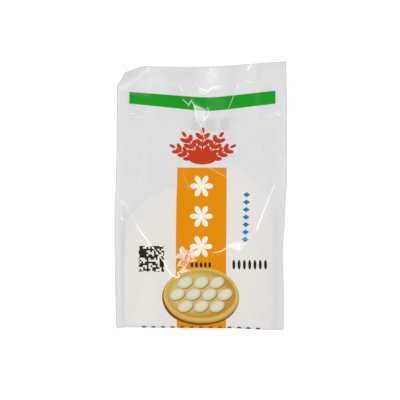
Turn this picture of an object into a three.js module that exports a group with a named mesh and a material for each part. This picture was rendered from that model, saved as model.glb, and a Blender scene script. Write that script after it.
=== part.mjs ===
// A one-kilogram bag of flour: a tube of milky plastic film with a folded side panel on each side,
// welded straight across its top and bottom. It stands on its base. The flour squares off the lower
// part, and the empty film above it closes like a wedge to the flat top weld.
// Millimetres, +Z up, origin at the middle of the base. The printed front faces -Y.

import * as THREE from "three";

// Driving dimensions of the bag.
const BELLY_HALF_WIDTH = 91.3; // middle of the front to a pinched edge, where the bag is widest
const BAG_HEIGHT = 286; // floor to the highest corner of the top weld
const SIDE_PANEL = 62; // side panel laid flat, from the front edge to the back edge
const PINCH = 8; // how far a creased edge stands out beyond the flour
const BASE_RADIUS = 6; // roll of the film from the front and back panels into the base
const EDGE_ROLL = 0.3; // share of that roll left at the pinched edges
const WELD_HALF_THICKNESS = 1; // half of the four welded layers at the top
const WELD_HEIGHT = 11; // width of the weld band

// Heights of the flour where it leaves the front film, and how softly the film comes off it.
const FLOUR_AT_MIDDLE = 168;
const FLOUR_AT_SIDES = 124;
const FILM_LEAVES_FLOUR = 34;
const HEAP_SHAPE = 1.6; // above 1 keeps the top of the flour broad before it falls to the sides

// The roll of a panel on to the flour beside a pinched edge, as shares of half a panel's width.
const ROLL_WIDTH = 0.36;
const ROLL_SHAPE = 2.4;
const PINCH_LIFT = 0.1; // share of the panel's swell already reached where the roll starts
const SIDE_ROLL = 0.32; // share of half a side panel that turns into the pinched edge

// Outlines that change with height, as [height, size] pairs joined smoothly.
const LEFT_EDGE = [
  [0, 88.8],
  [6, 90],
  [60, 91],
  [112, 91.3],
  [138, 91.3],
  [158, 90.1],
  [250, 90.5],
  [BAG_HEIGHT, 90.5],
];
const RIGHT_EDGE = [
  [0, 88],
  [6, 88.4],
  [30, 88.8],
  [85, 87.2],
  [115, 89.2],
  [165, 91.6],
  [236, 91.6],
  [BAG_HEIGHT, 90.8],
];
const EDGE_DEPTH = [
  [0, 26.5],
  [20, 27.5],
  [118, 28],
  [160, 23.5],
  [215, 12.5],
  [BAG_HEIGHT - WELD_HEIGHT, WELD_HALF_THICKNESS],
  [BAG_HEIGHT, WELD_HALF_THICKNESS],
];
const MIDDLE_DEPTH = [
  [0, 33],
  [62, 34],
  [120, 33],
  [165, 29],
  [212, 19],
  [BAG_HEIGHT - WELD_HEIGHT, WELD_HALF_THICKNESS],
  [BAG_HEIGHT, WELD_HALF_THICKNESS],
];

// The empty film above the flour sags near the middle, leans back and waves from side to side.
const DROOP_START = 185;
const TOP_DROOP = 2.8;
const BAND_DROOP = 10.7;
const SAG_PLACE = 0.08; // lowest place, as a share of half the front, right of its middle
const SAG_ROUND = 0.15; // how softly the two slopes meet there
const BAND_HEIGHT = 247; // the printed band near the top, where the droop is deepest
const LEFT_DROOP_START = 235;
const LEFT_CORNER_DROOP = 3.4;
const LEAN_START = 170;
const TOP_LEAN = 3;
const TOP_WAVE = 6;
const WAVE_SKEW = 0.35; // the right corner swings this much further than the left one

// A side panel folds fully between the front and back edges only where they stand this far apart.
const SIDE_FOLD_START = 2;
const SIDE_FOLD_FULL = 7;

// The long fold across the belly: two straight arms that run down from the edges to the middle.
const FOLD_RELIEF = 1.6;
const FOLD_ABOVE = 22; // how far each side of the fold's ridge slopes away
const FOLD_BELOW = 15;
const FOLD_FADE = { in: [-0.05, 0.12], out: [0.86, 1.1] }; // along an arm, as shares of its length
const FOLD_ARMS = [
  { from: [-84, 137], to: [-26, 57] },
  { from: [80, 154], to: [30, 84] },
];

// The top left corner is turned back along a slanting line.
const CORNER_FOLD = { from: [-90, 251.5], to: [-53, 283.5] };
const CORNER_RADIUS = 9;
const CORNER_ANGLE = THREE.MathUtils.degToRad(60);

// Mesh stations. A station from -1 to 1 lies on the front or back panel, between its two edges, and
// one beyond that lies on a side panel, whose middle crease is at -2 and 2.
const PANEL_STEPS = 26;
const PANEL_CROWDING = 0.41 * Math.PI; // half the arc whose sines place the stations
const SIDE_STATIONS = [0.14, 0.3, 0.55, 0.8, 1];
const HEIGHTS = [
  0, 0.8, 2.6, 5.4, 9.5, 18, 28, 38, 48, 57, 66, 75, 84, 93, 102, 111, 120, 129, 138, 147, 156, 165,
  174, 183, 192, 201, 210, 219, 228, 237, 245, 250, 255, 260, 265, 270, BAG_HEIGHT - WELD_HEIGHT,
  279, 282.5, BAG_HEIGHT,
];

const { clamp, lerp, smoothstep } = THREE.MathUtils;

// The size at a height, from [height, size] pairs: eased between neighbours, so no pair makes a kink.
function sizeAt(pairs, height) {
  const next = pairs.findIndex(([h]) => h >= height);
  if (next <= 0) return pairs[Math.max(next, 0)][1];
  const [h0, s0] = pairs[next - 1];
  const [h1, s1] = pairs[next];
  const t = (height - h0) / (h1 - h0);
  return lerp(s0, s1, lerp(t, t * t * (3 - 2 * t), 0.5));
}

// How far up the flour presses on the film: 1 where it does, 0 where the film is empty.
function filled(station, height) {
  const side = Math.min(Math.abs(station), 1);
  const level = lerp(FLOUR_AT_MIDDLE, FLOUR_AT_SIDES, side ** HEAP_SHAPE);
  return 1 - smoothstep(height, level - FILM_LEAVES_FLOUR / 2, level + FILM_LEAVES_FLOUR / 2);
}

// The crown of a panel between its edges, from 0 at the edge to 1 in the middle. Over flour the
// pinched edge stays low before the film rolls onto the flour; empty film is a plain arch.
function crown(station, full) {
  const inward = 1 - Math.abs(station);
  const pinch = PINCH / BELLY_HALF_WIDTH;
  const roll = clamp((inward - pinch) / ROLL_WIDTH, 0, 1);
  const rolled = 1 - (1 - roll) ** ROLL_SHAPE;
  const overFlour =
    inward < pinch ? (PINCH_LIFT * inward) / pinch : lerp(PINCH_LIFT, 1, rolled);
  const empty = 1 - station ** 2;
  return lerp(empty, overFlour, full);
}

// One arm of the belly fold: a ridge whose two sides slope away straight, fading at both ends.
function foldArm({ from, to }, x, height) {
  const run = new THREE.Vector2(to[0] - from[0], to[1] - from[1]);
  const length = run.length();
  run.normalize();
  const dx = x - from[0];
  const dz = height - from[1];
  const along = (dx * run.x + dz * run.y) / length;
  const across = dx * run.y - dz * run.x;
  const outward = Math.sign(to[0] - from[0]) * across;
  const reach = outward < 0 ? FOLD_ABOVE : FOLD_BELOW;
  const ends = smoothstep(along, ...FOLD_FADE.in) * (1 - smoothstep(along, ...FOLD_FADE.out));
  return FOLD_RELIEF * ends * Math.max(0, 1 - Math.abs(outward) / reach);
}

// The sag from edge to edge, 0 at the edges and 1 at the lowest place: two straight slopes that meet
// in a round.
function sag(station) {
  const slope = (distance) => Math.hypot(distance, SAG_ROUND) - SAG_ROUND;
  const away = clamp(station, -1, 1) - SAG_PLACE;
  return 1 - slope(away) / slope(away < 0 ? 1 + SAG_PLACE : 1 - SAG_PLACE);
}

// How far the film has dropped from its flat height.
function droop(station, height) {
  const rise = smoothstep(height, DROOP_START, BAND_HEIGHT);
  const depth = lerp(BAND_DROOP, TOP_DROOP, smoothstep(height, BAND_HEIGHT, BAG_HEIGHT));
  const left = LEFT_CORNER_DROOP * smoothstep(-station, -0.9, 1);
  return rise * depth * sag(station) + left * smoothstep(height, LEFT_DROOP_START, BAG_HEIGHT);
}

// How far the middle surface of the wedge stands back from the straight plane over the base.
function lean(station, height) {
  const s = clamp(station, -1, 1);
  const wave = (1 - 2 * s * s) * (1 + WAVE_SKEW * s);
  return (TOP_LEAN + TOP_WAVE * wave) * smoothstep(height, LEAN_START, BAG_HEIGHT);
}

// The quarter roll at the foot, from 1 at the floor to 0 where the wall is straight.
function footRoll(height) {
  const up = clamp(height / BASE_RADIUS, 0, 1);
  return 1 - Math.sqrt(1 - (1 - up) ** 2);
}

// Turns a point beyond the slanting line back round a small radius, with its thickness.
function turnCorner(point, middle) {
  const run = new THREE.Vector2(
    CORNER_FOLD.to[0] - CORNER_FOLD.from[0],
    CORNER_FOLD.to[1] - CORNER_FOLD.from[1],
  ).normalize();
  const dx = point.x - CORNER_FOLD.from[0];
  const dz = point.z - CORNER_FOLD.from[1];
  const beyond = dz * run.x - dx * run.y;
  if (beyond <= 0) return point;
  const along = dx * run.x + dz * run.y;
  const angle = Math.min(beyond / CORNER_RADIUS, CORNER_ANGLE);
  const straight = beyond - angle * CORNER_RADIUS;
  const offset = point.y - middle;
  const reach =
    CORNER_RADIUS * Math.sin(angle) + straight * Math.cos(angle) - offset * Math.sin(angle);
  const back =
    CORNER_RADIUS * (1 - Math.cos(angle)) + straight * Math.sin(angle) + offset * Math.cos(angle);
  return new THREE.Vector3(
    CORNER_FOLD.from[0] + along * run.x - reach * run.y,
    middle + back,
    CORNER_FOLD.from[1] + along * run.y + reach * run.x,
  );
}

// A point on the bag's outside. facing is -1 on the front half of a ring and 1 on the back half.
function bagPoint(station, height, facing) {
  const edge = Math.sign(station) || 1;
  const halfWidth = sizeAt(station < 0 ? LEFT_EDGE : RIGHT_EDGE, height);
  const edgeDepth = sizeAt(EDGE_DEPTH, height);
  const full = filled(station, height);
  const middle = lean(station, height);
  const z = height - droop(station, height);
  const point = new THREE.Vector3();
  if (Math.abs(station) <= 1) {
    const x = station * halfWidth;
    const swell = sizeAt(MIDDLE_DEPTH, height) - edgeDepth;
    let depth = edgeDepth + swell * crown(station, full);
    depth -= BASE_RADIUS * footRoll(height) * lerp(EDGE_ROLL, 1, crown(station, 1));
    if (facing < 0) for (const arm of FOLD_ARMS) depth += foldArm(arm, x, height);
    point.set(x, middle + facing * depth, z);
  } else {
    const inward = Math.abs(station) - 1;
    const halfPanel = SIDE_PANEL / 2;
    const flatFold = Math.sqrt(Math.max(0, halfPanel ** 2 - edgeDepth ** 2));
    const empty = inward * flatFold * smoothstep(edgeDepth, SIDE_FOLD_START, SIDE_FOLD_FULL);
    const overFlour = PINCH * (1 - (1 - Math.min(1, inward / SIDE_ROLL)) ** 2);
    const reach = lerp(empty, overFlour, full);
    const foot = EDGE_ROLL * BASE_RADIUS * footRoll(height);
    point.set(
      edge * (halfWidth - reach),
      middle + facing * (edgeDepth - foot) * (1 - inward),
      z,
    );
  }
  return turnCorner(point, middle);
}

// The stations of half a ring, from the left side crease round one panel to the right side crease.
// The panel's stations crowd towards its edges, where the film turns most.
function halfRing() {
  const panel = Array.from({ length: PANEL_STEPS + 1 }, (_, i) => {
    const across = (2 * i) / PANEL_STEPS - 1;
    return Math.sin(across * PANEL_CROWDING) / Math.sin(PANEL_CROWDING);
  });
  const left = SIDE_STATIONS.map((q) => -1 - q).reverse();
  const right = SIDE_STATIONS.map((q) => 1 + q);
  return [...left, ...panel, ...right];
}

// The bag's skin as one closed surface: rings of points stacked by height, with the base and the top
// weld closed flat.
function bagGeometry() {
  const half = halfRing();
  const last = half.length - 1;
  const ringSize = 2 * last;
  const positions = [];
  for (const height of HEIGHTS) {
    for (let i = 0; i <= last; i++) positions.push(bagPoint(half[i], height, -1));
    for (let i = last - 1; i >= 1; i--) positions.push(bagPoint(half[i], height, 1));
  }
  const index = [];
  const at = (ring, i) => ring * ringSize + (i % ringSize);
  for (let ring = 0; ring < HEIGHTS.length - 1; ring++)
    for (let i = 0; i < ringSize; i++) {
      const [a, b] = [at(ring, i), at(ring, i + 1)];
      const [c, d] = [at(ring + 1, i + 1), at(ring + 1, i)];
      index.push(a, b, c, a, c, d);
    }
  // The base is flat: its outline in plan, with the faces turned down.
  const base = positions.slice(0, ringSize).map((p) => new THREE.Vector2(p.x, p.y));
  for (const [a, b, c] of THREE.ShapeUtils.triangulateShape(base, [])) index.push(a, c, b);
  // The top edge of the weld is a narrow strip, with rungs from the front points to the back points.
  // A fan closes each end, where the welded side panel's points stand in one line.
  const top = HEIGHTS.length - 1;
  const inner = SIDE_STATIONS.length + 1;
  for (let i = inner; i < last - inner; i++) {
    const [a, b] = [at(top, i), at(top, i + 1)];
    const [c, d] = [at(top, ringSize - i - 1), at(top, ringSize - i)];
    index.push(a, b, c, a, c, d);
  }
  for (const apex of [last - inner, ringSize - inner])
    for (let k = 1; k < 2 * inner; k++)
      index.push(at(top, apex), at(top, apex + k), at(top, apex + k + 1));
  const geometry = new THREE.BufferGeometry().setFromPoints(positions);
  geometry.setIndex(index);
  geometry.computeVertexNormals();
  // The fold's ridges stand out on the front only, so the footprint is centred afterwards.
  geometry.computeBoundingBox();
  const centre = geometry.boundingBox.getCenter(new THREE.Vector3());
  geometry.translate(-centre.x, -centre.y, 0);
  return geometry;
}

// The milky film with the white flour behind it.
function flourBag() {
  const material = new THREE.MeshStandardMaterial({
    color: 0xe3e2da,
    roughness: 0.4,
    metalness: 0,
  });
  const mesh = new THREE.Mesh(bagGeometry(), material);
  mesh.name = "flour_bag";
  return mesh;
}

const bag = new THREE.Group();
bag.add(flourBag());

export default bag;
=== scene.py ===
# %% [markdown]
# A one-kilogram bag of flour, standing on its base. The real bag is a tube of milky polyethylene
# film with a pleat in each side. It was welded flat at the bottom, filled, and welded flat at the
# top. The flour squares off the lower part, and the empty film above it closes like a wedge.
# The film could be a simulated cloth, but its shape is simple to say in numbers: how wide and how
# deep the bag is at each height. So it is worked out as a surface, and the creases are added to it.

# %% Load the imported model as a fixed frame
import math

import bmesh
import bpy
import numpy as np
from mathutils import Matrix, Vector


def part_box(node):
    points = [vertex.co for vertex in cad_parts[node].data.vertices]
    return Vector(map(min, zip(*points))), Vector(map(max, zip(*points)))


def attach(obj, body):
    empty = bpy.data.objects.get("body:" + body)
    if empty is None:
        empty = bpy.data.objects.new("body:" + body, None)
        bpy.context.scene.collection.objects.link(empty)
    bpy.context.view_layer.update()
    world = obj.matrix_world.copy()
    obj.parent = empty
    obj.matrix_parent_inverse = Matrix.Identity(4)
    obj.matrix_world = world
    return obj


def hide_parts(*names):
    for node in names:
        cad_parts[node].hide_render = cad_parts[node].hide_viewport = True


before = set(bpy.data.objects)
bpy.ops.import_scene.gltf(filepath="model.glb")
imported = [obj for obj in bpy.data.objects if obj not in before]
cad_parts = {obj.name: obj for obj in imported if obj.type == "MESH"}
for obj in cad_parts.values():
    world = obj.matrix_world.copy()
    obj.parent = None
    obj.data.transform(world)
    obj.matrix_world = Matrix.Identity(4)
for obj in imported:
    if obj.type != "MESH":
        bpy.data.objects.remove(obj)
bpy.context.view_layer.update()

NODE_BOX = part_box("flour_bag")
MM = 0.001

# %% [markdown]
# The camera comes first. The photo was taken from almost level, a little to the right of the
# middle, with a long lens.

# %% Camera
PHOTO_SIDE = 400                 # pixels
MM_PER_PIXEL = 1.0545            # at the front of the bag, which is 173 pixels wide
FLOOR_ROW = 331                  # pixel row of the floor below the aim, but for perspective
MIDDLE_COLUMN = 200.25
CAMERA_AZIMUTH = math.radians(2.5)
CAMERA_ELEVATION = math.radians(2.0)
LENS_MM = 100
SENSOR_MM = 36
FRONT_DEPTH_MM = 30              # plane of the front panel, in front of the bag's middle

frame_width = PHOTO_SIDE * MM_PER_PIXEL
distance = LENS_MM / SENSOR_MM * frame_width
aim = np.array([
    (PHOTO_SIDE / 2 - MIDDLE_COLUMN) * MM_PER_PIXEL,
    -FRONT_DEPTH_MM,
    (FLOOR_ROW - PHOTO_SIDE / 2) * MM_PER_PIXEL,
])
backwards = np.array([
    math.sin(CAMERA_AZIMUTH) * math.cos(CAMERA_ELEVATION),
    -math.cos(CAMERA_AZIMUTH) * math.cos(CAMERA_ELEVATION),
    math.sin(CAMERA_ELEVATION),
])
camera_data = bpy.data.cameras.new("camera")
camera_data.lens = LENS_MM
camera_data.sensor_width = SENSOR_MM
camera = bpy.data.objects.new("camera", camera_data)
bpy.context.scene.collection.objects.link(camera)
camera.location = (aim + backwards * distance) * MM
camera.rotation_euler = (math.pi / 2 - CAMERA_ELEVATION, 0, CAMERA_AZIMUTH)
bpy.context.scene.camera = camera
print("camera", round(distance), "mm from the front panel")

# %% [markdown]
# The bag's sizes are those of the real film: its pleats, its belly and its welds. The outlines are
# pairs of height and size. Between two pairs a size runs halfway between a straight line and a
# smooth step, so that no pair leaves a kink.

# %% Sizes of the bag, in millimetres
BAG_HEIGHT = 286
PLEAT = 62                       # side panel laid flat, from its front edge to its back edge
PINCH = 8                        # how far a creased edge stands out beyond the flour
WELD_HEIGHT = 11
WELD_HALF_THICKNESS = 0.5
FOOT_RADIUS = 6
FOOT_EDGE_SHARE = 0.3
LEFT_EDGE = [(0, 88.8), (6, 90), (60, 91), (112, 91.3), (138, 91.3), (158, 90.1), (250, 90.5),
             (BAG_HEIGHT, 90.5)]
RIGHT_EDGE = [(0, 88), (6, 88.4), (30, 88.8), (85, 87.2), (115, 89.2), (165, 91.6), (236, 91.6),
              (BAG_HEIGHT, 90.8)]
EDGE_DEPTH = [(0, 26.5), (20, 27.5), (118, 28), (160, 23.5), (215, 12.5),
              (BAG_HEIGHT - WELD_HEIGHT, WELD_HALF_THICKNESS), (BAG_HEIGHT, WELD_HALF_THICKNESS)]
MIDDLE_DEPTH = [(0, 33), (62, 34), (120, 33), (165, 29), (212, 19),
                (BAG_HEIGHT - WELD_HEIGHT, WELD_HALF_THICKNESS), (BAG_HEIGHT, WELD_HALF_THICKNESS)]


def smooth(value, low, high):
    """Smooth step from 0 at low to 1 at high: t^2 (3 - 2t)."""
    t = np.clip((value - low) / (high - low), 0, 1)
    return t * t * (3 - 2 * t)


def size_at(pairs, height):
    """Size at a height: from pair to pair, the mean of a straight line and a smooth step."""
    heights, sizes = np.array(pairs, float).T
    first = np.clip(np.searchsorted(heights, height) - 1, 0, len(heights) - 2)
    t = np.clip((height - heights[first]) / (heights[first + 1] - heights[first]), 0, 1)
    eased = (t + smooth(t, 0, 1)) / 2
    return sizes[first] + (sizes[first + 1] - sizes[first]) * eased


# %% [markdown]
# A fold in film is a ridge: the film slopes away from it on both sides, almost straight. Where it was
# creased hard, the polyethylene has turned white along a line finer than the mesh. The same white line
# is also a painted highlight, the glint of light along the ridge. So the mesh carries the ridge, and
# for the line it carries the distance to the fold, with a sign for the side. That distance runs
# straight through zero, and the material draws a thin line where it does.

# %% A line of straight runs
def along_line(x, z, line):
    """For each point: its distance to the line, signed by side, and the whitening at the nearest
    place of the line. The line's points are (across, up, whitening)."""
    nearest = np.full(np.shape(x), 1e9)
    side = np.ones(np.shape(x))
    white = np.zeros(np.shape(x))
    for (x0, z0, white0), (x1, z1, white1) in zip(line[:-1], line[1:]):
        length = math.hypot(x1 - x0, z1 - z0)
        run_x, run_z = (x1 - x0) / length, (z1 - z0) / length
        along = np.clip((x - x0) * run_x + (z - z0) * run_z, 0, length)
        off_x, off_z = x - x0 - along * run_x, z - z0 - along * run_z
        off = np.hypot(off_x, off_z)
        closer = off < nearest
        nearest = np.where(closer, off, nearest)
        side = np.where(closer, np.where(off_x * run_z - off_z * run_x < 0, -1, 1), side)
        white = np.where(closer, white0 + (white1 - white0) * along / length, white)
    return nearest * side, white


# %% Creases of the front panel
# Each crease: its line, how high it stands, and how far its right and left sides slope away. Places
# are millimetres across from the middle of the front and up from the floor.
# The third number of each point is its whitening: partly real whitening of creased film, partly a painted
# highlight where the fold catches the light.
CREASES = [
    ("belly fold, left arm", [
        (-84.5, 137.5, 0.6), (-79.5, 133.5, 0.75), (-76.5, 128.5, 0.6), (-72, 120.5, 0.25),
        (-68, 114, 0.2), (-66, 110, 0.8), (-62.5, 104.5, 1), (-58, 98.5, 0.9), (-53, 91.5, 0.75),
        (-45.5, 83, 0.6), (-37.5, 72, 1), (-34.5, 65, 0.9), (-30, 59, 1), (-23.5, 56.5, 0.9)], 1.5, 20, 14),
    ("its turn upwards", [(-24.5, 56, 0.9), (-21.5, 58, 0.9), (-24, 61.5, 0.7), (-18, 64, 0.8),
                          (-13, 72, 0.5)], 0.5, 5, 5),
    ("hook at the left edge", [(-84.5, 137, 0.25), (-84.5, 125, 0.1), (-83.5, 119, 1), (-82.5, 117, 1),
                               (-78.5, 115.5, 0.15)], 0.6, 6, 5),
    ("belly fold, right arm", [(78.5, 154, 0.9), (73.5, 143.5, 0.8), (66, 124.5, 0.75), (59.5, 107, 0.9)],
     1.5, 16, 22),
    ("lower right arc", [(59.5, 107, 0.1), (52, 98, 0.15), (38, 94, 0.3), (31, 92, 0.35), (27.5, 87.5, 0.6),
                         (21.5, 84, 0.75), (15, 83, 0.6)], 0.9, 9, 9),
    ("kite, lower side", [(49, 93, 0.2), (42, 84.5, 0.3), (33, 91, 0.2)], -0.8, 7, 7),
    ("above the band, left", [(-34, 263, 0.1), (-29, 262.5, 0.35), (-24, 260.5, 0.5), (-21.5, 256.5, 0.9),
                              (-20, 251.5, 0.3)], 0.7, 7, 5),
    ("smile, left bit", [(-9.5, 259.5, 0.7), (-8.5, 261.5, 0.6), (-6.5, 262, 0.4)], 0.4, 4, 4),
    ("smile", [(-3, 258.5, 0.6), (1.5, 256.5, 0.9), (6, 255, 0.8)], 0.6, 4, 4),
    ("smile, rim", [(-3, 257, 0.3), (-1.5, 254, 0.5), (0.5, 252, 0.6), (5, 252, 0.6), (8, 255, 0.9),
                    (10, 258.5, 0.9), (14.5, 260, 0.8), (22, 260.5, 0.5)], 0.7, 5, 5),
    ("inner smile", [(9.5, 256.5, 0.7), (18.5, 257.5, 0.6)], 0.5, 3, 3),
    ("zigzag, left", [(-19.5, 245, 0.35), (-15, 241, 0.55)], 0.4, 4, 4),
    ("zigzag", [(-13.5, 239.5, 0.45), (-11.5, 244.5, 0.6), (-7, 239, 0.6), (-1, 236, 0.7)], 0.5, 4, 4),
    ("dent, left side", [(-8, 239.5, 0.7), (-6.5, 234.5, 0.9), (-4.5, 224, 0.8)], 0.8, 4, 6),
    ("dent, middle", [(2.5, 231, 0.7), (3, 225.5, 0.9)], 0.5, 3, 3),
    ("dent, right side", [(7, 236, 0.4), (8, 230, 0.5), (6.5, 226.5, 0.9), (3, 223.5, 1)], 0.7, 6, 4),
    ("below the dent", [(-5, 222.5, 0.6), (-1, 219, 0.7), (1, 212, 0.6), (3.5, 204, 0.5)], 0.5, 5, 4),
    ("above the band, right", [(39.5, 261.5, 0.9), (37, 255, 0.25), (35, 250.5, 0.2), (33, 245, 0.3),
                               (29.5, 236.5, 0.25)], 0.7, 6, 8),
    ("nick at the top right", [(49.5, 277.5, 1), (51, 280.5, 1), (53.5, 282.5, 0.8)], 0.6, 4, 4),
    ("small fold under the nick", [(49.5, 265.5, 0.6), (54.5, 264, 0.6)], 0.4, 4, 4),
    ("left edge tick", [(-80.5, 229.5, 0.3), (-72.5, 230, 0.7)], 0.5, 5, 4),
    ("left edge tick, lower", [(-72, 227, 0.3), (-64, 226, 0.3)], 0.4, 4, 4),
    ("right edge tick", [(66, 226, 0.05), (72, 228.5, 0.3), (80, 230.5, 0.55)], 0.6, 5, 4),
    ("right edge tick, lower", [(72.5, 226, 0.2), (78.5, 227, 0.2)], 0.4, 4, 4),
    ("right edge hook", [(82, 230.5, 0.8), (82.8, 228.3, 1), (84.5, 228, 0.3), (85, 230, 0.5)], 0.5, 4, 4),
    ("corner fold", [(-87, 257.5, 0.3), (-74.5, 265.5, 0.2), (-64, 272, 0.35), (-58.5, 277.5, 0.6),
                     (-55, 281, 0.4)], 0.3, 6, 6),
    ("panel streak, left", [(-18.5, 167.5, 0.05), (-12.5, 151, 0.12)], 0.4, 6, 6),
    ("panel streak, right", [(9, 172, 0.2), (17, 168, 0.12), (25, 163.5, 0.2)], 0.4, 4, 4),
    ("upper left drape", [(-76, 240, 0), (-60, 205, 0), (-55, 170, 0)], 0.5, 16, 16),
    ("upper right drape", [(80, 246, 0), (58, 214, 0), (44, 182, 0)], 0.5, 16, 16),
]

# The same for the pleats, where the first number is millimetres back from the pleat's middle.
PLEAT_CREASES = [
    ("fold down the middle", [(0, 14, 0.1), (0, 140, 0.35), (0, 270, 0.2)], -0.5, 5, 5),
    ("over the flour, front", [(0, 151, 0.5), (-9, 137, 0.35), (-25, 118, 0.1)], 1.0, 9, 7),
    ("over the flour, back", [(0, 151, 0.5), (11, 133, 0.35), (25, 121, 0.1)], 1.0, 7, 9),
    ("low slant", [(-24, 52, 0.1), (-8, 30, 0.3), (2, 24, 0.1)], 0.6, 6, 8),
    ("high slant", [(4, 176, 0.2), (9, 190, 0.3), (13, 199, 0.1)], 0.5, 5, 5),
]

# Small facets painted lighter: a few have whitened from crushing, and most are painted highlights
# and sheens where the film faces the light. Corners anticlockwise, how much, and how softly in mm.
WHITENED_AND_HIGHLIGHT_FACETS = [
    ("smile", [(-3.5, 258), (1.5, 253), (7.5, 254.5), (19, 258), (10, 259.5)], 0.2, 2),
    ("dent", [(-9, 241), (-5.5, 222), (2.5, 221.5), (6, 235)], 0.35, 2),
    ("kite", [(27.5, 89), (41.5, 84.5), (49, 93.5), (34.5, 93.5)], 0.45, 1.5),
    ("under the air vent", [(3, 276), (5, 260.5), (16, 260.5), (18, 275)], 0.22, 5),
    ("nick", [(49, 277), (51.5, 277.5), (53.5, 282), (51, 281.5)], 0.4, 1),
    ("corner fold, low", [(-88, 252), (-74, 260), (-66, 268), (-70, 270), (-88, 259)], 0.3, 4),
    ("corner fold, high", [(-70, 263), (-62, 271), (-54, 281), (-60, 281), (-69, 271)], 0.3, 4),
    ("sheen over the band, middle", [(4, 226), (26, 226), (28, 262), (6, 262)], 0.02, 5),
    ("sheen over the band, right", [(57, 232), (64, 232), (64, 262), (57, 262)], 0.015, 4),
    ("above the band, left", [(-76, 253), (-58, 251), (-50, 268), (-66, 271)], 0.17, 9),
    ("top right", [(60, 257), (88, 257), (88, 283), (58, 283)], 0.12, 9),
    ("belly, lower left", [(-74, 0), (-44, 0), (-46, 56), (-62, 60)], 0.06, 9),
    ("left pinch", [(-81, 14), (-78.8, 14), (-78.8, 72), (-79.6, 84), (-81, 72)], 0.2, 1.5),
]

# Painted shade: soft places darkened where the film hangs in loose folds and beside its pinched
# edges. Outline, amount and softness.
PAINTED_SHADE_FACETS = [
    ("left of the vent", [(-40, 244), (-16, 236), (-3, 262), (-4, 284), (-40, 284)], 0.06, 9),
    ("right of the vent", [(24, 242), (42, 248), (44, 286), (22, 286)], 0.05, 8),
    ("upper middle", [(-30, 172), (40, 172), (44, 234), (-34, 234)], 0.06, 14),
    ("left of the middle", [(-62, 150), (-30, 154), (-24, 240), (-56, 242)], 0.036, 10),
    ("right of the middle", [(36, 176), (72, 146), (73, 200), (44, 242), (34, 230)], 0.036, 10),
    ("right of the belly", [(56, 4), (79, 4), (79, 116), (62, 114)], 0.028, 8),
    ("left pinch", [(-85, 6), (-81.3, 6), (-81.3, 96), (-84, 110), (-85, 96)], 0.035, 2.5),
    ("right pinch", [(79, 4), (90, 4), (90, 110), (80, 110)], 0.012, 4),
    ("upper left drape", [(-86, 160), (-74, 160), (-66, 232), (-82, 236)], 0.014, 10),
    ("upper right drape", [(66, 150), (84, 150), (86, 216), (70, 222)], 0.025, 10),
]

CRUSHED_REACH = 2.4              # mm over which a small facet's edge slopes away
CRUSHED_EDGE = (0.1, 0.9)        # least and most that its edges whiten
CRUSHED_WHITE = 0.25             # most that the rest of it whitens


def crushed_spot(middle, half, count, sizes, height, seed):
    """A crushed spot: small facets scattered in an oval, each with creased edges and its own share of
    whitening, which is partly a painted highlight. A facet's corners stand round its middle at uneven
    angles and distances."""
    draw = np.random.default_rng(seed)
    for _ in range(count):
        angle, away = draw.uniform(0, 2 * math.pi), math.sqrt(draw.uniform(0, 1))
        x = middle[0] + half[0] * away * math.cos(angle)
        z = middle[1] + half[1] * away * math.sin(angle)
        turns = np.sort(draw.uniform(0, 1, 4) + np.arange(4)) * math.pi / 2
        reach = draw.uniform(*sizes, 4)
        white = draw.uniform(*CRUSHED_EDGE, 4)
        corners = [(x + r * math.cos(t), z + r * math.sin(t)) for r, t in zip(reach, turns)]
        edges = [(*corner, share) for corner, share in zip(corners, white)]
        CREASES.append(("crushed", edges, height, CRUSHED_REACH, CRUSHED_REACH))
        WHITENED_AND_HIGHLIGHT_FACETS.append(("crushed", corners, draw.uniform(0, CRUSHED_WHITE), 1))


def star(middle, inner, outer, points, height):
    """A star of short strokes round a middle, as a punched air vent leaves in film."""
    turns = np.arange(points) * 2 * math.pi / points + 0.3
    return [("ray", [(middle[0] + inner * math.cos(turn), middle[1] + inner * math.sin(turn), 0.55),
                     (middle[0] + outer * math.cos(turn), middle[1] + outer * math.sin(turn), 0.5)],
             height, 2, 2) for turn in turns]


crushed_spot((-13, 79), (9.5, 8), 15, (1.5, 4), 0.35, 4)
crushed_spot((-21, 80), (3, 4), 4, (1.5, 3), 0.35, 6)
crushed_spot((-17, 69), (4, 6), 4, (1.5, 4), 0.3, 12)
CREASES += star((12, 275.5), 2.6, 4.2, 8, 0.2)
LINE_REACH = 3.0                 # mm from a line at which its whitening has ended on the mesh
RIDGE_SHAPE = 1.4                # 1 would be straight slopes


def creases(lines, x, z):
    """Relief: for each line, height * (1 - distance / reach)^RIDGE_SHAPE, summed. Side: the signed
    distance to the nearest line that whitens. White: the whitening there, partly a painted highlight,
    ended in LINE_REACH."""
    relief = np.zeros(np.shape(x))
    side = np.full(np.shape(x), LINE_REACH)
    white = np.zeros(np.shape(x))
    for _, line, height, right, left in lines:
        signed, whitening = along_line(x, z, line)
        off = np.abs(signed)
        relief += height * np.clip(1 - off / np.where(signed > 0, right, left), 0, 1) ** RIDGE_SHAPE
        closer = (off < np.abs(side)) & (whitening > 0)
        side = np.where(closer, signed, side)
        white = np.where(closer, whitening * (1 - smooth(off, LINE_REACH / 2, LINE_REACH)), white)
    return relief, side, white


def soft_fields(x, z, outlines):
    """The largest of the outlines' amounts, each of which comes up softly where the least distance
    inside its edges passes 0."""
    largest = np.zeros(np.shape(x))
    for _, corners, amount, soft in outlines:
        inside = np.full(np.shape(x), 1e9)
        for (x0, z0), (x1, z1) in zip(corners, corners[1:] + corners[:1]):
            length = math.hypot(x1 - x0, z1 - z0)
            inside = np.minimum(inside, ((x1 - x0) * (z - z0) - (z1 - z0) * (x - x0)) / length)
        largest = np.maximum(largest, amount * smooth(inside, -soft / 2, soft))
    return largest


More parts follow.
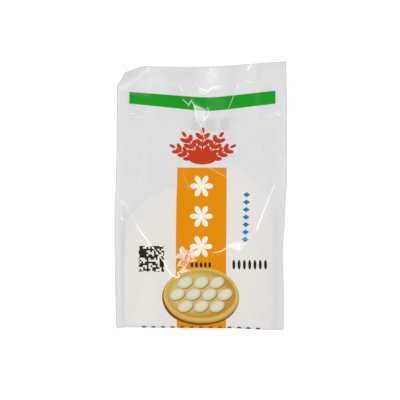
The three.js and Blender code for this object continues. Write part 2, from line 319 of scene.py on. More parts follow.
# %% [markdown]
# Film that has been handled is never a clean curve: it breaks into small flat facets that meet at
# faint creases. A triangle wave gives just that, since it is made of straight slopes. Three such
# waves in different directions, each bent a little by two slow sines, make the facets.

# %% Facets and crumples of handled film
FACET_LENGTHS = [43, 31, 23]     # from ridge to ridge, mm
FACET_TURNS = [0.35, 1.55, 2.5]  # directions, radians
FACET_HEIGHT = 0.16              # of a wave that is 31 mm long
FACET_TILT = 0.2                 # share of a random angle by which a wave's rise is turned
BEND, BEND_RATE = 0.32, 1.7      # a sine that bends a wave, by this share of its length
DRIFT, DRIFT_RATE = 0.2, 0.6     # and a slower one
PLEAT_FACETS = 2                 # the facets of a pleat are this many times narrower


def triangle_wave(t):
    """Straight slopes between -1 and 1, once for each unit of t."""
    return 4 * np.abs(t - np.floor(t + 0.5)) - 1


def facets(across, height, seed):
    """Sum of three triangle waves, each bent by two slow sines. A longer one is higher."""
    draw = np.random.default_rng(seed)
    relief = np.zeros(np.shape(across))
    for length, turn in zip(FACET_LENGTHS, FACET_TURNS):
        bend, phase, tilt = draw.uniform(0, 2 * math.pi, 3)
        tilted = turn + FACET_TILT * tilt
        u = across * math.cos(tilted) + height * math.sin(tilted)
        v = height * math.cos(turn) - across * math.sin(turn)
        warp = BEND * np.sin(v / length * BEND_RATE + bend)
        warp += DRIFT * np.sin(v / length * DRIFT_RATE + phase)
        relief += FACET_HEIGHT * length / FACET_LENGTHS[1] * triangle_wave(u / length + warp + phase)
    return relief


# %% [markdown]
# The flour shows through the film where it touches it. Its top lies in a low heap, higher on the
# right. The same line is used twice: for the heap itself, and for an attribute on the film that
# says how closely the flour lies behind it, because wetted-out film over white flour looks solid.

# %% Where the flour lies
HEAP_LINE = np.array([
    (-90, 104), (-82, 114), (-71, 125), (-58, 137), (-49, 144), (-38, 148), (-24, 152), (0, 162),
    (16, 169), (30, 171), (47, 171), (55, 161), (65, 150), (74, 136), (82, 118), (90, 106)], float)
LEDGE_BELOW = 18                 # the top of the heap stands back from the film above this depth
LEDGE_TOUCH = 0.72               # how closely that top still shows through the film
HEAP_RIPPLES = [(1.6, 5.3, 0), (1.1, 2.9, 1)]     # height, length and phase of two sines
TOUCH_LEFT, TOUCH_RIGHT = (-82.5, -77), (71, 84)  # flour fades out between these, across
LINE_FADE, LEDGE_FADE = (-3, 3), (-4, 5)          # and over this much below and above a line
FLOUR_AT_MIDDLE, FLOUR_AT_SIDES = 168, 124
FILM_LEAVES_FLOUR = 34           # height over which the film goes from squared off to empty
HEAP_SHAPE = 1.6


def filled(station, height):
    """1 where the flour squares off the bag, 0 where the film hangs empty."""
    outwards = np.minimum(np.abs(station), 1) ** HEAP_SHAPE
    level = FLOUR_AT_MIDDLE + (FLOUR_AT_SIDES - FLOUR_AT_MIDDLE) * outwards
    return 1 - smooth(height, level - FILM_LEAVES_FLOUR / 2, level + FILM_LEAVES_FLOUR / 2)


def flour_touch(x, z):
    """How closely flour lies behind the front film: 1 below the ledge, less up to the heap line,
    and 0 above it and at the pinched edges."""
    line = np.interp(x, *HEAP_LINE.T)
    for size, length, phase in HEAP_RIPPLES:
        line = line + size * np.sin(x / length + phase)
    below = 1 - smooth(z - line, *LINE_FADE)
    ledge = 1 - smooth(z - line + LEDGE_BELOW, *LEDGE_FADE)
    sides = smooth(x, *TOUCH_LEFT) * (1 - smooth(x, *TOUCH_RIGHT))
    return (LEDGE_TOUCH * below + (1 - LEDGE_TOUCH) * ledge) * sides


# %% [markdown]
# Now the bag's skin. A station runs round the bag: from -1 to 1 across the front or the back, and
# on to 2 at the inner crease of a pleat. The same formulas as the solid's give each point's depth.

# %% The film as a surface
BELLY_HALF_WIDTH = 91.3
PINCH_LIFT = 0.1                 # share of the swell that a pinched edge takes
ROLL_WIDTH, ROLL_SHAPE = 0.36, 2.4
SIDE_ROLL = 0.32                 # share of a half pleat in which its edge rolls on to the flour
DROOP_START, BAND_HEIGHT, BAND_DROOP, TOP_DROOP = 185, 247, 10.7, 2.8
SAG_PLACE, SAG_ROUND = 0.08, 0.15
LEFT_DROOP_START, LEFT_CORNER_DROOP = 235, 3.4
LEAN_START, TOP_LEAN, TOP_WAVE, WAVE_SKEW = 170, 3, 6, 0.35
RIM_LIFT, RIM_LIFT_HEIGHT = 2.0, 16
RIM_LIFT_LEFT, RIM_LIFT_RIGHT = (-94, -76), (30, 84)      # where it begins and ends, across
CORNER_FROM, CORNER_TO = np.array([-90, 251.5]), np.array([-53, 283.5])
CORNER_RADIUS = 9
CORNER_ANGLE = math.radians(60)


def crown(station, full):
    """Swell of a panel between its edges, 0 to 1: an arch 1 - s^2 where the film is empty, and over
    flour a low pinched edge that then rolls on to the flour."""
    inward = 1 - np.abs(station)
    pinch = PINCH / BELLY_HALF_WIDTH
    roll = 1 - (1 - np.clip((inward - pinch) / ROLL_WIDTH, 0, 1)) ** ROLL_SHAPE
    over_flour = np.where(inward < pinch, PINCH_LIFT * inward / pinch, PINCH_LIFT + (1 - PINCH_LIFT) * roll)
    return (1 - station**2) * (1 - full) + over_flour * full


def rounded_slope(distance):
    """A straight slope from a round bottom: sqrt(d^2 + round^2) - round."""
    return np.hypot(distance, SAG_ROUND) - SAG_ROUND


def sag(side):
    """The empty film's sag from edge to edge, 0 to 1: two slopes that meet in a round at SAG_PLACE,
    each divided by its value at the edge."""
    to_edge = np.where(side < SAG_PLACE, 1 + SAG_PLACE, 1 - SAG_PLACE)
    return 1 - rounded_slope(side - SAG_PLACE) / rounded_slope(to_edge)


def film_points(station, height, facing, inset=0.0):
    """Points of the skin, from station, height and side (-1 front, 1 back): their x, the y of the
    bag's middle, how far they are from that middle, and their z. Inset is inwards from the film."""
    s = np.clip(station, -1, 1)
    half_width = np.where(station < 0, size_at(LEFT_EDGE, height), size_at(RIGHT_EDGE, height))
    edge_depth = size_at(EDGE_DEPTH, height)
    full = filled(station, height)
    foot = 1 - np.sqrt(1 - (1 - np.clip(height / FOOT_RADIUS, 0, 1)) ** 2)
    swell = size_at(MIDDLE_DEPTH, height) - edge_depth
    panel = edge_depth + swell * crown(s, full)
    panel -= FOOT_RADIUS * foot * (FOOT_EDGE_SHARE + (1 - FOOT_EDGE_SHARE) * crown(s, 1))

    inward = np.clip(np.abs(station) - 1, 0, 1)
    flat_fold = np.sqrt(np.maximum(0, (PLEAT / 2) ** 2 - edge_depth**2))
    over_flour = PINCH * (1 - (1 - np.minimum(1, inward / SIDE_ROLL)) ** 2)
    reach = inward * flat_fold * (1 - full) + over_flour * full
    x = s * half_width - np.sign(station) * reach
    depth = (panel - inset) * (1 - inward)

    side = x / half_width
    droop = smooth(height, DROOP_START, BAND_HEIGHT) * sag(side)
    droop *= BAND_DROOP + (TOP_DROOP - BAND_DROOP) * smooth(height, BAND_HEIGHT, BAG_HEIGHT)
    droop += LEFT_CORNER_DROOP * smooth(-side, -0.9, 1) * smooth(height, LEFT_DROOP_START, BAG_HEIGHT)
    wave = (1 - 2 * side**2) * (1 + WAVE_SKEW * side)
    middle = (TOP_LEAN + TOP_WAVE * wave) * smooth(height, LEAN_START, BAG_HEIGHT)
    return x, middle, facing * depth, height - droop


def rim_lift(x, height, front):
    """How far the rim stands clear of the floor, for points that are in front by a share of 0 to 1:
    all of the front rim but its corners."""
    between_corners = smooth(x, *RIM_LIFT_LEFT) * (1 - smooth(x, *RIM_LIFT_RIGHT))
    return RIM_LIFT * front * between_corners * (1 - smooth(height, 0, RIM_LIFT_HEIGHT))


def turn_corner(x, middle, offset, z):
    """Turns what lies beyond the slanting line back round a small radius, with its thickness."""
    run = (CORNER_TO - CORNER_FROM) / np.linalg.norm(CORNER_TO - CORNER_FROM)
    dx, dz = x - CORNER_FROM[0], z - CORNER_FROM[1]
    beyond = dz * run[0] - dx * run[1]
    along = dx * run[0] + dz * run[1]
    angle = np.clip(beyond / CORNER_RADIUS, 0, CORNER_ANGLE)
    straight = np.maximum(beyond, 0) - angle * CORNER_RADIUS
    reach = CORNER_RADIUS * np.sin(angle) + straight * np.cos(angle) - offset * np.sin(angle)
    back = CORNER_RADIUS * (1 - np.cos(angle)) + straight * np.sin(angle) + offset * np.cos(angle)
    turned = beyond > 0
    return (
        np.where(turned, CORNER_FROM[0] + along * run[0] - reach * run[1], x),
        middle + np.where(turned, back, offset),
        np.where(turned, CORNER_FROM[1] + along * run[1] + reach * run[0], z),
    )


# %% The grid of the film: stations round the bag and heights up it
PANEL_COLUMNS, PLEAT_COLUMNS = 160, 9
FOOT_ROWS, BELLY_ROWS = 6, 219
LOW_STEP, LOW_TOP = 1.5, 50      # between the rows below the belly, mm, and where they end
RELIEF_FROM_FLOOR = 14           # facets and creases come up to full height over this much
RELIEF_FROM_EDGE = 4
RELIEF_IN_PLEAT = 0.3            # share of half a pleat
FRONT_FACETS, BACK_FACETS = (0.5, 0.8), (0.8, 0.9)        # over flour, and what emptiness adds
LAYERS_PART = (1.5, 5)           # half depth at which front and back begin to move on their own
PLEAT_CROWDING = 1.3             # a pleat's stations stand closer at its edge
PLEAT_TOUCH = (0.15, 0.4)        # flour shows in a pleat from here on, as shares of its half
BACK_TOUCH = 0.93                # and on the back as far as this station

panel = np.linspace(-1, 1, PANEL_COLUMNS + 1)
pleat = np.linspace(0, 1, PLEAT_COLUMNS + 1)[1:] ** PLEAT_CROWDING
pleat_back = pleat[-2::-1]
stations = np.concatenate([panel, 1 + pleat, 1 + pleat_back, -panel, -1 - pleat, -1 - pleat_back])
facings = np.concatenate([
    -np.ones(len(panel) + PLEAT_COLUMNS),
    np.ones(PLEAT_COLUMNS - 1 + len(panel) + PLEAT_COLUMNS),
    -np.ones(PLEAT_COLUMNS - 1),
])
foot_heights = FOOT_RADIUS * (1 - np.cos(np.linspace(0, math.pi / 2, FOOT_ROWS + 1)))
low_heights = np.arange(FOOT_RADIUS + LOW_STEP, LOW_TOP, LOW_STEP)
high_heights = np.linspace(LOW_TOP, BAG_HEIGHT, BELLY_ROWS + 1)
heights = np.concatenate([foot_heights, low_heights, high_heights])
station, height = np.meshgrid(stations, heights)
facing = np.broadcast_to(facings, station.shape)
x, middle, offset, z = film_points(station, height, facing)

on_front = (np.abs(station) <= 1) & (facing < 0)
on_back = (np.abs(station) <= 1) & (facing > 0)
in_pleat = np.clip(np.abs(station) - 1, 0, 1)
from_edge = np.where(x < 0, size_at(LEFT_EDGE, height), size_at(RIGHT_EDGE, height)) - np.abs(x)
off_floor = smooth(height, 0, RELIEF_FROM_FLOOR)
fade = smooth(from_edge, 0, RELIEF_FROM_EDGE) * off_floor
relief, fold_side, fold_white_and_glint = creases(CREASES, x, z)
pleat_relief, pleat_side, pleat_white = creases(PLEAT_CREASES, offset, z)
# The film is tight over the flour, so its facets are flatter there, and flattest on the front.
empty = 1 - filled(station, height)
front_relief = (relief + facets(x, z, 11) * (FRONT_FACETS[0] + FRONT_FACETS[1] * empty)) * fade
back_relief = facets(x, z, 23) * (BACK_FACETS[0] + BACK_FACETS[1] * empty) * fade
pleat_relief = (pleat_relief + facets(PLEAT_FACETS * offset, z, 37)) * off_floor
pleat_relief *= smooth(in_pleat, 0, RELIEF_IN_PLEAT)
# Close to the weld all layers lie on each other, so a crease there moves them all together.
together = 1 - smooth(size_at(EDGE_DEPTH, height), *LAYERS_PART)
offset = offset + (1 - together) * (on_back * back_relief - on_front * front_relief)
middle = middle - together * front_relief
x = x + np.sign(station) * (1 - together) * pleat_relief
fold_side = np.where(in_pleat > 0, pleat_side, fold_side)
fold_white_and_glint = np.where(in_pleat > 0, pleat_white * (1 - together), fold_white_and_glint * on_front)
# Painted highlights and sheens on facets, with some real whitening of crushed film.
facet_white_and_highlight = soft_fields(x, z, WHITENED_AND_HIGHLIGHT_FACETS) * on_front
# Painted shade: darker soft fields where the film hangs in loose folds and beside its pinched edges.
painted_shade = soft_fields(x, z, PAINTED_SHADE_FACETS)
off_pinch = np.where(in_pleat > 0, smooth(in_pleat, *PLEAT_TOUCH), np.abs(station) <= BACK_TOUCH)
touch = np.where(on_front, flour_touch(x, z), filled(station, height) * off_pinch)
x, y, z = turn_corner(x, middle, offset, z)
z = z + rim_lift(x, height, (facing < 0) * (1 - in_pleat))
print("film grid:", station.shape, "fold relief up to", round(float(relief.max()), 2), "mm")

# %% Helper: a mesh object from arrays
def mesh_object(name, points, faces, smooth_shading=True):
    """Makes a mesh of points in millimetres and a list of faces, and links it at the origin. Its
    faces are flat unless they are shaded smooth."""
    mesh = bpy.data.meshes.new(name)
    mesh.from_pydata((np.asarray(points) * MM).tolist(), [], faces)
    mesh.validate()
    if smooth_shading:
        mesh.shade_smooth()
    piece = bpy.data.objects.new(name, mesh)
    bpy.context.scene.collection.objects.link(piece)
    return piece


def cell_corners(grid):
    """For each cell of a grid, the values at its corners: left, right, above right and above left.
    Given vertex numbers these are quads, and given places they are the places of the corners."""
    corners = [grid[:-1, :-1], grid[:-1, 1:], grid[1:, 1:], grid[1:, :-1]]
    return np.stack(corners, axis=-1).reshape(-1, 4)


def ring_faces(rows, columns):
    """Quads between stacked closed rings, facing outwards for rings that run anticlockwise."""
    numbers = np.arange(rows * columns).reshape(rows, columns)
    return cell_corners(np.hstack([numbers, numbers[:, :1]])).tolist()


# %% [markdown]
# The base is a grid between the back rim and the front rim. It has as many rows as a pleat has
# steps, so its two ends are the pleats' own lowest points, and nothing has to be sewn together. The
# real base is tucked like a parcel's end: the pleats make a triangle at each end, and the bottom weld
# lies folded under along the middle. Both are shallow relief in a base that is hollowed a little, so
# that the bag rests on its weld and its back rim, and nothing reaches below the floor.

# %% The base as a grid
BASE_HOLLOW = 0.8
WELD_WIDTH, WELD_THICKNESS, WELD_OFFSET = 9, 0.8, 3
TUCK_WIDTH, TUCK_HEIGHT, TUCK_SLANT = 5, 0.4, 1.1
BASE_FLAT = 25                   # mm of flat film from a rim to the middle of the base
BASE_PINCH = 0.88                # station from which the base is drawn out to the pinched corners
HOLLOW_FROM_RIM = (0.1, 0.45)    # the base hollows between these shares of the way to its middle
SEAM_WHITE = 0.5

columns = len(stations)
inward_rows = np.concatenate([[0], pleat, pleat_back, [0]])[:, None]
base_rows = len(inward_rows)
front_row = (np.arange(base_rows) > PLEAT_COLUMNS)[:, None]
front_at = np.arange(PANEL_COLUMNS + 1)
back_at = 2 * PANEL_COLUMNS + 2 * PLEAT_COLUMNS - front_at

rim_x, rim_y = x[0][front_at], np.where(front_row, y[0][front_at], y[0][back_at])
pinched = np.clip((np.abs(panel) - BASE_PINCH) / (1 - BASE_PINCH), 0, 1)
rolled = 1 - (1 - np.minimum(1, inward_rows / SIDE_ROLL)) ** 2
base_x = rim_x - np.sign(panel) * pinched * PINCH * rolled
base_y = rim_y * (1 - inward_rows)
weld_side = np.abs(base_y + WELD_OFFSET) - WELD_WIDTH / 2
tuck_side = rim_x[-1] - np.abs(base_x) - TUCK_SLANT * np.abs(base_y)
tucked = np.clip(1 - np.abs(tuck_side) / TUCK_WIDTH, 0, 1)
thick = WELD_THICKNESS * (weld_side < 0) + TUCK_HEIGHT * tucked
hollow = smooth(inward_rows, *HOLLOW_FROM_RIM) * smooth(1 - np.abs(panel), 0, 1 - BASE_PINCH)
base_z = np.maximum(BASE_HOLLOW - thick, 0) * hollow
base_z = base_z + rim_lift(base_x, 0, front_row * (1 - inward_rows) ** 2)
seam_side = np.where(np.abs(weld_side) < np.abs(tuck_side), weld_side, tuck_side)
seam_white = SEAM_WHITE * hollow * (1 - smooth(np.abs(seam_side), LINE_REACH / 2, LINE_REACH))

# %% Film: put the surface together
wall = np.stack([x, y, z], axis=-1).reshape(-1, 3)
base = np.stack([base_x, base_y, base_z], axis=-1)[1:-1, 1:-1].reshape(-1, 3)
film_vertices = np.concatenate([wall, base])
base_numbers = np.empty((base_rows, PANEL_COLUMNS + 1), int)
base_numbers[1:-1, 1:-1] = len(wall) + np.arange(len(base)).reshape(base_rows - 2, -1)
base_numbers[:, -1] = PANEL_COLUMNS + np.arange(base_rows)[::-1]
base_numbers[:, 0] = -np.arange(base_rows)[::-1] % columns
base_numbers[0], base_numbers[-1] = back_at, front_at

top = (len(heights) - 1) * columns
film_faces = ring_faces(len(heights), columns) + cell_corners(base_numbers).tolist()
film_faces += cell_corners(np.stack([top + front_at, top + back_at])).tolist()
film_faces += [(top + np.arange(PANEL_COLUMNS, back_at[-1] + 1)).tolist(),
               (top + np.arange(back_at[0], columns + 1) % columns).tolist()]

# Centred on the node's box, as the solid is.
shift = (NODE_BOX[0] + NODE_BOX[1]) / 2 / MM
film_shift = shift[1] - (film_vertices[:, 1].min() + film_vertices[:, 1].max()) / 2
film_vertices[:, 1] += film_shift
film = mesh_object("film", film_vertices, film_faces)

# The film's own flat width runs round the tube from the middle of the front: front, right pleat,
# back, left pleat. Outwards is the same, but from the middle of whichever panel it is on.
PANEL_FLAT = 183
TUBE_FLAT = 2 * (PANEL_FLAT + PLEAT)
UV_SIDE, UV_ACROSS, UV_UP = 500, 96, 40      # side of the map, and where its zero lies, in mm
inward = np.sign(stations) * np.clip(np.abs(stations) - 1, 0, 1)
outwards = (np.clip(stations, -1, 1) * PANEL_FLAT + inward * PLEAT) / 2
around = np.where(facings < 0, outwards, PANEL_FLAT + PLEAT - outwards)
around = np.where((stations < -1) & (facings < 0), outwards + TUBE_FLAT, around)
wall_flat = np.meshgrid(np.append(around, around[0] + TUBE_FLAT), heights)
back_flat = np.meshgrid(around[back_at], -BASE_FLAT * inward_rows[:PLEAT_COLUMNS + 1])
front_flat = np.meshgrid(around[front_at], -BASE_FLAT * inward_rows[PLEAT_COLUMNS:])
flat = np.concatenate([np.stack([cell_corners(u), cell_corners(v)], axis=-1).reshape(-1, 2)
                       for u, v in (wall_flat, back_flat, front_flat)])
top_flat = np.tile([0, BAG_HEIGHT], (len(film.data.loops) - len(flat), 1))
places = (np.concatenate([flat, top_flat]) + [UV_ACROSS, UV_UP]) / UV_SIDE
film.data.uv_layers.new(name="flat_film").data.foreach_set("uv", places.ravel())


def point_attribute(piece, name, values):
    """Stores one number for each vertex, which a material reads by name."""
    attribute = piece.data.attributes.new(name, "FLOAT", "POINT")
    attribute.data.foreach_set("value", np.asarray(values, float).ravel())


# The whitening attributes also carry painted highlights, and the grey one carries painted shade.
for name, on_wall, on_base in (
        ("touch", touch, np.ones_like(base_z)), ("fold_side", fold_side, seam_side),
        ("fold_white_and_glint", fold_white_and_glint, seam_white), ("facet_white_and_highlight", facet_white_and_highlight, np.zeros_like(base_z)),
        ("painted_shade", painted_shade, np.zeros_like(base_z))):
    point_attribute(film, name, np.append(on_wall, on_base[1:-1, 1:-1]))

# %% Check that a mesh is closed
MERGE_DISTANCE = 0.01 * MM


def open_edges(piece):
    """Merges points that lie on each other, and counts the edges that don't have two faces."""
    work = bmesh.new()
    work.from_mesh(piece.data)
    bmesh.ops.remove_doubles(work, verts=work.verts, dist=MERGE_DISTANCE)
    count = sum(not edge.is_manifold for edge in work.edges)
    work.to_mesh(piece.data)
    work.free()
    return count


print("film:", open_edges(film), "edges not closed,", len(film.data.polygons), "faces")

# %% [markdown]
# The flour is a body of its own behind the film. It fills the bag between the pleats, and its top
# is a low heap that slumped when the bag was set down. It is a closed surface: rings from the base
# up to the line where the flour leaves the film, and on over the heap to a crest along the middle.

# %% Flour
FLOUR_GAP = 1.3                  # between the flour and the clean form of the film
FLOUR_HALF_WIDTH = 77.5
FLOUR_BASE = 1.8                 # height of its underside, above the film of the base
FLOUR_LIFT = 1.3                 # it rises with the front rim, this many times as much
CREST_HALF_WIDTH = 56            # the heap stands above its ledge in full between these
RIPPLE, RIPPLE_LENGTH, RIPPLE_TURN = 0.7, 4.7, 6
HEAP_RISEN = 0.8                 # share of the way in at which the heap has risen in full
FLOUR_COLUMNS, SIDE_COLUMNS = 80, 6
FLOUR_ROWS, HEAP_ROWS = 60, 12

across = np.linspace(-1, 1, FLOUR_COLUMNS + 1)
through = np.linspace(-1, 1, SIDE_COLUMNS + 2)[1:-1]
flour_side = np.concatenate([across, np.ones(SIDE_COLUMNS), -across, -np.ones(SIDE_COLUMNS)])
flour_facing = np.concatenate([-np.ones(len(across)), through, np.ones(len(across)), -through])


def flour_ring(share_up, share_in):
    """One ring of the heap: share_up runs from the base to where the flour leaves the film, and
    share_in from there, or from the rim of the base, to the middle."""
    x = flour_side * FLOUR_HALF_WIDTH
    leaves = np.interp(x, *HEAP_LINE.T) - LEDGE_BELOW
    z = FLOUR_BASE + share_up * (leaves - FLOUR_BASE)
    _, middle, offset, _ = film_points(x / BELLY_HALF_WIDTH, z, 1, FLOUR_GAP)
    crest = LEDGE_BELOW * (1 - smooth(np.abs(x), CREST_HALF_WIDTH, FLOUR_HALF_WIDTH))
    ripple = RIPPLE * np.sin(x / RIPPLE_LENGTH + RIPPLE_TURN * share_in) * share_in
    rise = (crest * smooth(share_in, 0, HEAP_RISEN) + ripple) * (share_up == 1)
    y = middle + flour_facing * offset * (1 - share_in)
    lift = FLOUR_LIFT * rim_lift(x, z, np.maximum(-flour_facing, 0)) * (1 - share_in)
    return np.stack([x, y, z + lift + rise], axis=-1)


inward_shares = np.linspace(0, 1, HEAP_ROWS + 1)
rings = [flour_ring(0, share) for share in inward_shares[:0:-1]]
rings += [flour_ring(share, 0) for share in np.linspace(0, 1, FLOUR_ROWS + 1)]
rings += [flour_ring(1, share) for share in inward_shares[1:]]
flour_vertices = np.concatenate(rings)
flour_vertices[:, 1] += film_shift
flour = mesh_object("flour", flour_vertices, ring_faces(len(rings), len(flour_side)))
print("flour:", open_edges(flour), "edges not closed,", len(flour.data.polygons), "faces")

# %% [markdown]
# Materials are node trees. One helper adds a node, sets what it is told, and joins its inputs: a
# number or colour is set on the socket, and another node's output is linked to it.

# %% Helpers for materials
def linear(hex_colour):
    """sRGB hex to linear red, green, blue, alpha."""
    channels = np.array([int(hex_colour[i:i + 2], 16) for i in (1, 3, 5)]) / 255
    return (*np.where(channels <= 0.04045, channels / 12.92, ((channels + 0.055) / 1.055) ** 2.4), 1)


def add(tree, kind, *inputs, named=None, **settings):
    """Adds one node, its settings first. Inputs fill its open sockets in order, or by name."""
    made = tree.nodes.new("ShaderNode" + kind)
    for key, value in settings.items():
        setattr(made, key, value)
    usable = [socket for socket in made.inputs if socket.enabled]
    pairs = list(zip(usable, inputs)) + [(made.inputs[key], value) for key, value in (named or {}).items()]
    for socket, value in pairs:
        if isinstance(value, bpy.types.NodeSocket):
            tree.links.new(value, socket)
        else:
            socket.default_value = value
    return next((socket for socket in made.outputs if socket.enabled), None)


def maths(tree, operation, *inputs, **settings):
    """A maths node on numbers, such as "MULTIPLY_ADD", which is a * b + c."""
    return add(tree, "Math", *inputs, operation=operation, **settings)


def vector(tree, operation, *inputs):
    """The same on vectors."""
    return add(tree, "VectorMath", *inputs, operation=operation)


def split(tree, place):
    """The x and y of a vector, as two outputs."""
    return add(tree, "SeparateXYZ", place).node.outputs


def noise(tree, scale, detail):
    """Noise that is fixed to the object, at a scale of so many in a metre."""
    on_object = add(tree, "TexCoord").node.outputs["Object"]
    return add(tree, "TexNoise", named={"Vector": on_object, "Scale": scale, "Detail": detail})


def new_tree(owner):
    """The empty node tree of a new material or world."""
    owner.use_nodes = True
    owner.node_tree.nodes.clear()
    return owner.node_tree


def surface(piece, material, **sockets):
    """Ends a material with its shader, whose sockets are told by name, and puts it on a piece."""
    named = {key.replace("_", " "): value for key, value in sockets.items()}
    shader = add(material.node_tree, "BsdfPrincipled", named=named)
    add(material.node_tree, "OutputMaterial", shader)
    piece.data.materials.append(material)


# %% [markdown]
# The print is flat ink, so it is drawn in the film's own flat millimetres, which the UV map holds.
# Every shape is a mask from 0 to 1: a place on the film is brought into the shape's own frame, and
# its distance from the middle, measured round, square or as a diamond, is compared with its size.

# %% Print: shapes as masks
EDGE_BLUR = 0.35                 # mm over which an edge of the ink fades, as coarse as a pixel needs


def shape(tree, place, centre, half, form="oval", turn=0.0, blur=EDGE_BLUR):
    """Mask of an oval, a diamond or a field (rectangle) with this centre and half size, turned."""
    if form == "field":
        local = vector(tree, "SUBTRACT", place, (*centre, 0))
        local = vector(tree, "ABSOLUTE", local)
        local = vector(tree, "SUBTRACT", local, (*half, 0))
        parts = split(tree, local)
        outside = maths(tree, "MAXIMUM", parts[0], parts[1])
        return maths(tree, "MULTIPLY_ADD", outside, -1 / blur, 0.5, use_clamp=True)
    local = add(tree, "Mapping", place, (*centre, 0), (0, 0, turn), (*half, 1), vector_type="TEXTURE")
    if form == "oval":
        away = vector(tree, "LENGTH", local)
    else:
        parts = split(tree, vector(tree, "ABSOLUTE", local))
        away = maths(tree, "ADD", parts[0], parts[1])
    sharp = min(half) / blur
    return maths(tree, "MULTIPLY_ADD", away, -sharp, sharp + 0.5, use_clamp=True)


def join(tree, *masks):
    """The largest of several masks."""
    joined = masks[0]
    for mask in masks[1:]:
        joined = maths(tree, "MAXIMUM", joined, mask)
    return joined


def both(tree, *masks):
    """Where all masks hold."""
    joined = masks[0]
    for mask in masks[1:]:
        joined = maths(tree, "MULTIPLY", joined, mask)
    return joined


def cells(tree, place, centre, field, cell):
    """Cuts a field into equal cells, so that one shape makes a row or a column of them: the place
    within a cell, and the mask of the field. The field and the cell are given by half their size."""
    local = vector(tree, "SUBTRACT", place, (*centre, 0))
    low = (-cell[0], -cell[1], 0)
    within = vector(tree, "WRAP", local, (*cell, 1), low)
    return within, shape(tree, local, (0, 0), field, "field")


def row_of(tree, place, centre, field, cell, mark, form="oval"):
    """A field of equal cells with one mark in the middle of each."""
    within, in_field = cells(tree, place, centre, field, cell)
    return both(tree, shape(tree, within, (0, 0), mark, form), in_field)


def folded(tree, place):
    """Lays the left half over the right half."""
    parts = split(tree, place)
    return add(tree, "CombineXYZ", maths(tree, "ABSOLUTE", parts[0]), parts[1])


# %% Print: motifs
def wheat_ear(tree, place, length):
    """An ear of wheat that stands on the origin: a stalk, three pairs of grains and a top grain."""
    half_ear = folded(tree, place)
    grain = (length * 0.064, length * 0.13)
    stalk = shape(tree, half_ear, (0, length * 0.4), (0.8, length * 0.4), "field")
    top_grain = shape(tree, half_ear, (0, length * 0.93), (length * 0.05, length * 0.1))
    pairs = [shape(tree, half_ear, (length * 0.088, length * share), grain, turn=-0.6)
             for share in (0.34, 0.54, 0.74)]
    return join(tree, stalk, *pairs, top_grain)


PETAL_ROUNDNESS = 0.6


def petals(tree, place, radius, count=6):
    """A rosette round the origin: its reach is radius * |cos(count/2 * angle)|^PETAL_ROUNDNESS."""
    parts = split(tree, place)
    angle = maths(tree, "ARCTAN2", parts[1], parts[0])
    swing = maths(tree, "MULTIPLY", angle, count / 2)
    swing = maths(tree, "COSINE", swing)
    swing = maths(tree, "ABSOLUTE", swing)
    swing = maths(tree, "POWER", swing, PETAL_ROUNDNESS)
    reach = maths(tree, "MULTIPLY", swing, radius)
    away = vector(tree, "LENGTH", place)
    inside = maths(tree, "SUBTRACT", reach, away)
    return maths(tree, "MULTIPLY_ADD", inside, 1 / EDGE_BLUR, 0.5, use_clamp=True)


# A round dish with grains in it, seen from a little above.
DISH, DISH_HALF = (0.9, 36.4), (41.5, 31.0)
INSIDE, INSIDE_HALF = (1.4, 38.6), (37.4, 25.3)
GRAIN_CELL = (0.46, 0.5)         # in a dish of radius 1
GRAIN_TURN = -0.55


def dish_oval(tree, place, right, up, narrower, lower):
    """An oval of the dish: its outline, moved and drawn in on each side by millimetres."""
    centre = (DISH[0] + right, DISH[1] + up)
    return shape(tree, place, centre, (DISH_HALF[0] - narrower, DISH_HALF[1] - lower))


def grain_rows(tree, place, half, blur):
    """Slanting grains in a dish of radius 1, in rows of three, four and three. A row is one grain,
    repeated from the row's left end."""
    masks = []
    for row, count in ((1, 3), (0, 4), (-1, 3)):
        length = count * GRAIN_CELL[0]
        left_end = (-length / 2, row * GRAIN_CELL[1], 0)
        from_end = vector(tree, "SUBTRACT", place, left_end)
        in_row = shape(tree, from_end, (length / 2, 0), (length / 2, GRAIN_CELL[1] / 2), "field", blur=0.01)
        within = vector(tree, "WRAP", from_end, (GRAIN_CELL[0], 1, 1), (0, -1, 0))
        grain = shape(tree, within, (GRAIN_CELL[0] / 2, 0), half, turn=GRAIN_TURN, blur=blur)
        masks.append(both(tree, grain, in_row))
    return join(tree, *masks)


# %% [markdown]
# The film is low density polyethylene, blown with a little white in it: milky, not clear, with a
# soft gloss. Where it hangs empty the light and the far layers show through it. Where it lies on
# flour it looks solid and warmer. The inks are flat and opaque, and a hard crease whitens both film
# and ink. The same whitening also paints highlights and sheens, and grey fields paint shade.

# %% Film material
# The whitened colour is also the colour of painted highlights and sheens.
FILM_WHITE, FILM_ON_FLOUR, CREASE_WHITE_AND_HIGHLIGHT = "#d5d6d6", "#d0cec7", "#fdfdf8"
EMPTY_ALPHA = 0.8
FILM_GLOSS, INK_GLOSS = 0.2, 0.06
FILM_ROUGHNESS = 0.24
POLYETHYLENE_IOR = 1.51
LINE_HALF, LINE_BLUR = 0.18, 0.5  # half width of a whitened line, and how wide its edge fades, mm
MOTTLE = 0.05                    # how much the tone of the film varies
INKS = {
    "green": "#168b1e", "orange": "#ce7f00", "red": "#b63518", "blue": "#0e70ab", "dark": "#27231f",
    "white": "#e3dac9", "brown": "#5b3c30", "dish side": "#6f4514", "dish rim": "#c0a256",
    "dish inside": "#bba85d", "dish right": "#ac8034", "grain shade": "#806a2f", "grain": "#bcb69a",
    "grain light": "#cbc5b2", "dish front": "#a98636",
}
film_material = bpy.data.materials.new("polyethylene_film_blown_milky_printed")
tree = new_tree(film_material)

